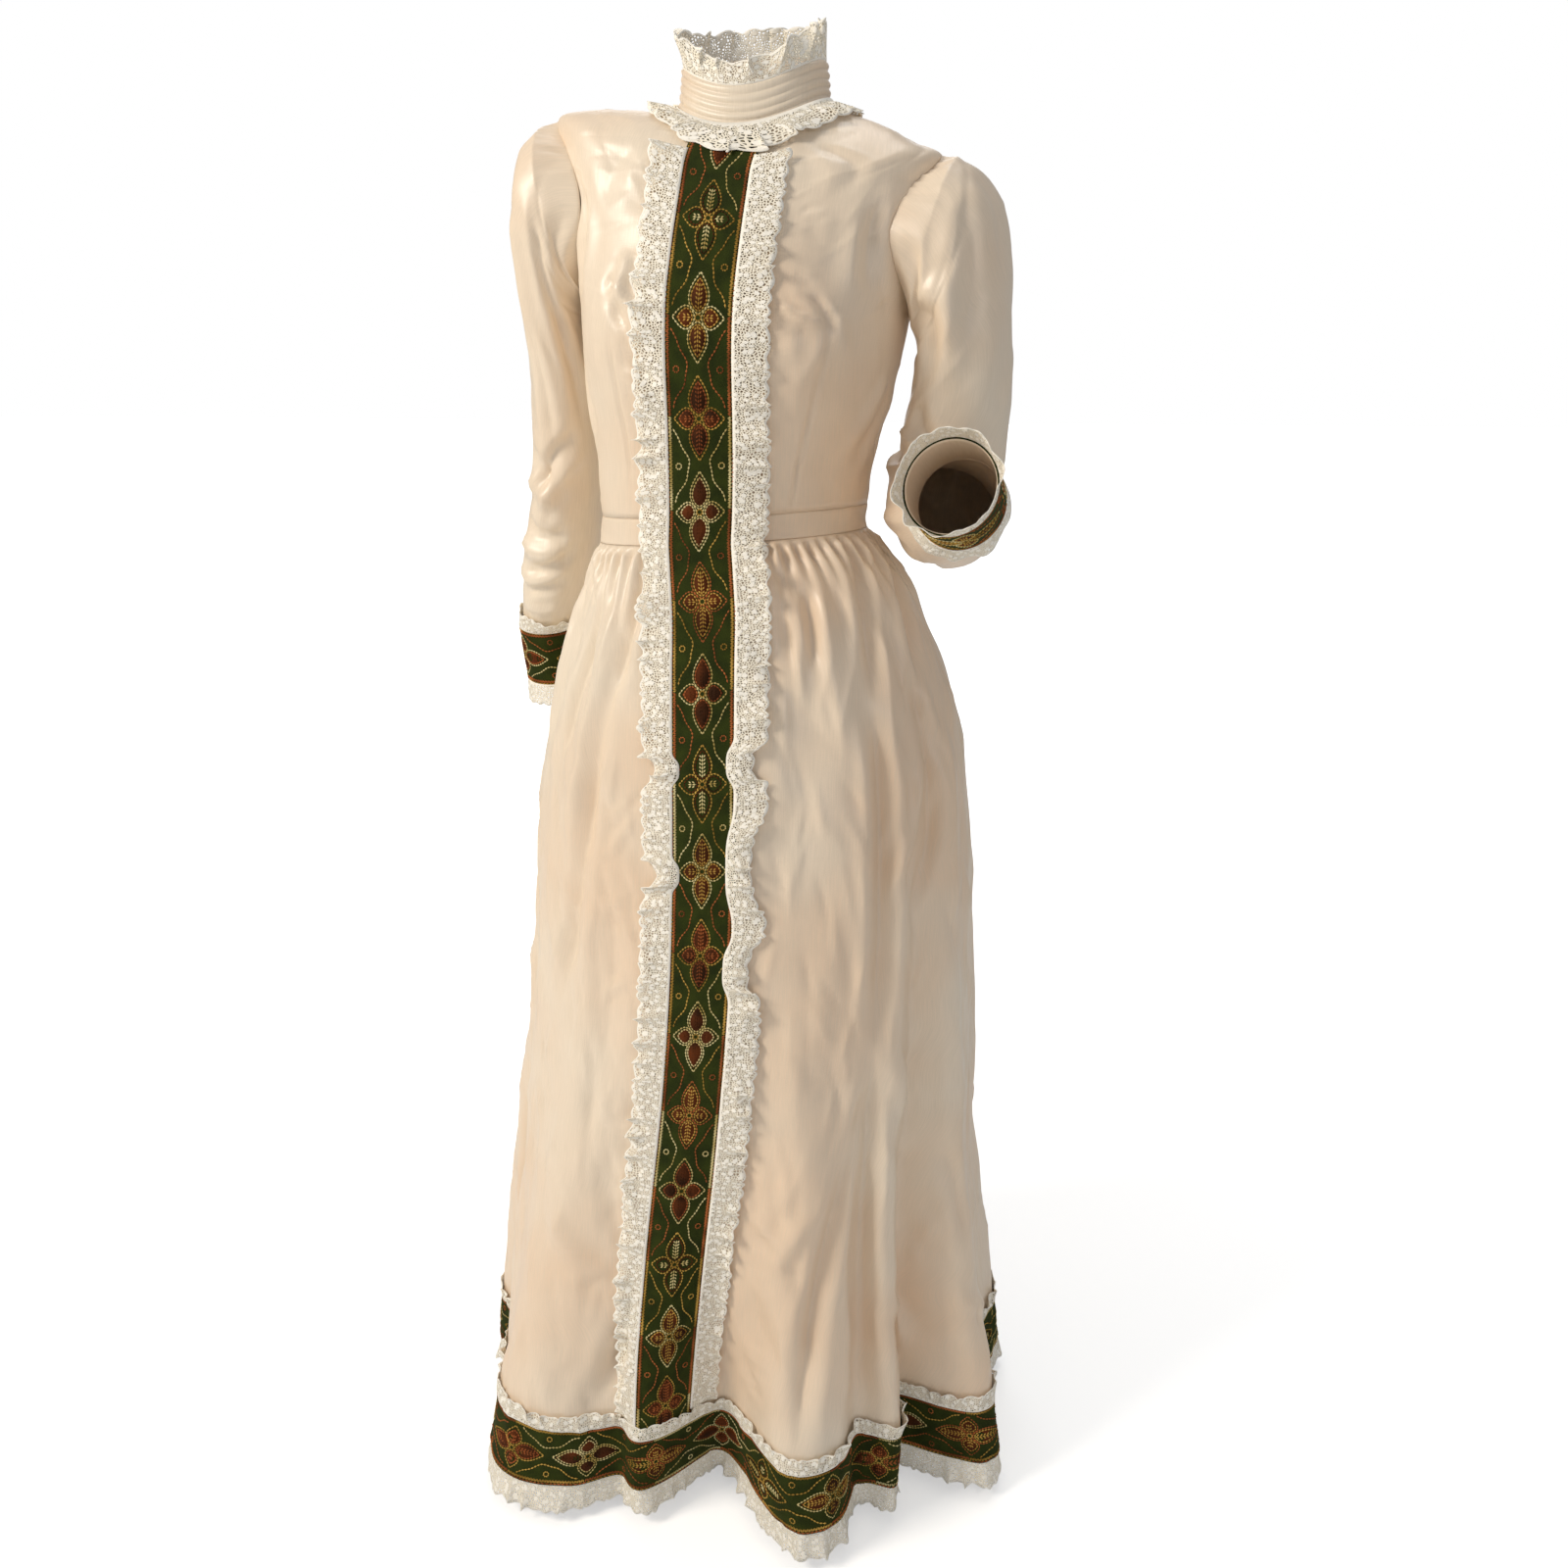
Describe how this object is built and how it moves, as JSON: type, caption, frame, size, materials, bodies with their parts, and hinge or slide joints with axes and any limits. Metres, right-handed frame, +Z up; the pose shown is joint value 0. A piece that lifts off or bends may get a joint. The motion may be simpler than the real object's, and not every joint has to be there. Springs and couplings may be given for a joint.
{
  "type": "full-length dress with gathered skirt",
  "caption": "Full-length taffeta dress in worn form, hollow, with draped high neck, bent sleeves, gathered skirt, velvet ribbon bands and gathered lace at front, neck, cuffs and hem",
  "frame": {"origin": "midway between the two shoulder tips, where the dress is held", "axes": "+Z up the dress towards the neck; +X towards the wearer's left side; the wearer faces -Y"},
  "size_m": [0.6491, 0.5432, 1.5078],
  "materials": {
    "taffeta": "satin-faced pale peach taffeta",
    "velvet_ribbon": "dark green velvet with embroidered flowers",
    "lace": "matt cream cotton lace",
    "nickel": "dull nickel"
  },
  "bodies": {
    "root": {"bodice_front": "taffeta", "bodice_back_left": "taffeta", "bodice_back_right": "taffeta", "waistband_front": "taffeta", "waistband_back_left": "taffeta", "waistband_back_right": "taffeta", "skirt_front": "taffeta", "skirt_back_left": "taffeta", "skirt_back_right": "taffeta", "sleeve_left": "taffeta", "sleeve_right": "taffeta", "neck_band": "taffeta", "front_ribbon": "velvet_ribbon", "hem_ribbon_front": "velvet_ribbon", "hem_ribbon_back_left": "velvet_ribbon", "hem_ribbon_back_right": "velvet_ribbon", "cuff_left": "velvet_ribbon", "cuff_right": "velvet_ribbon", "front_lace_left": "lace", "front_lace_right": "lace", "hem_lace_upper_front": "lace", "hem_lace_upper_back_left": "lace", "hem_lace_upper_back_right": "lace", "hem_lace_lower_front": "lace", "hem_lace_lower_back_left": "lace", "hem_lace_lower_back_right": "lace", "neck_ruffle": "lace", "collar_lace": "lace", "cuff_lace_upper_left": "lace", "cuff_lace_upper_right": "lace", "cuff_lace_lower_left": "lace", "cuff_lace_lower_right": "lace", "cuff_button_left": "nickel", "cuff_button_right": "nickel"}
  },
  "joints": []
}
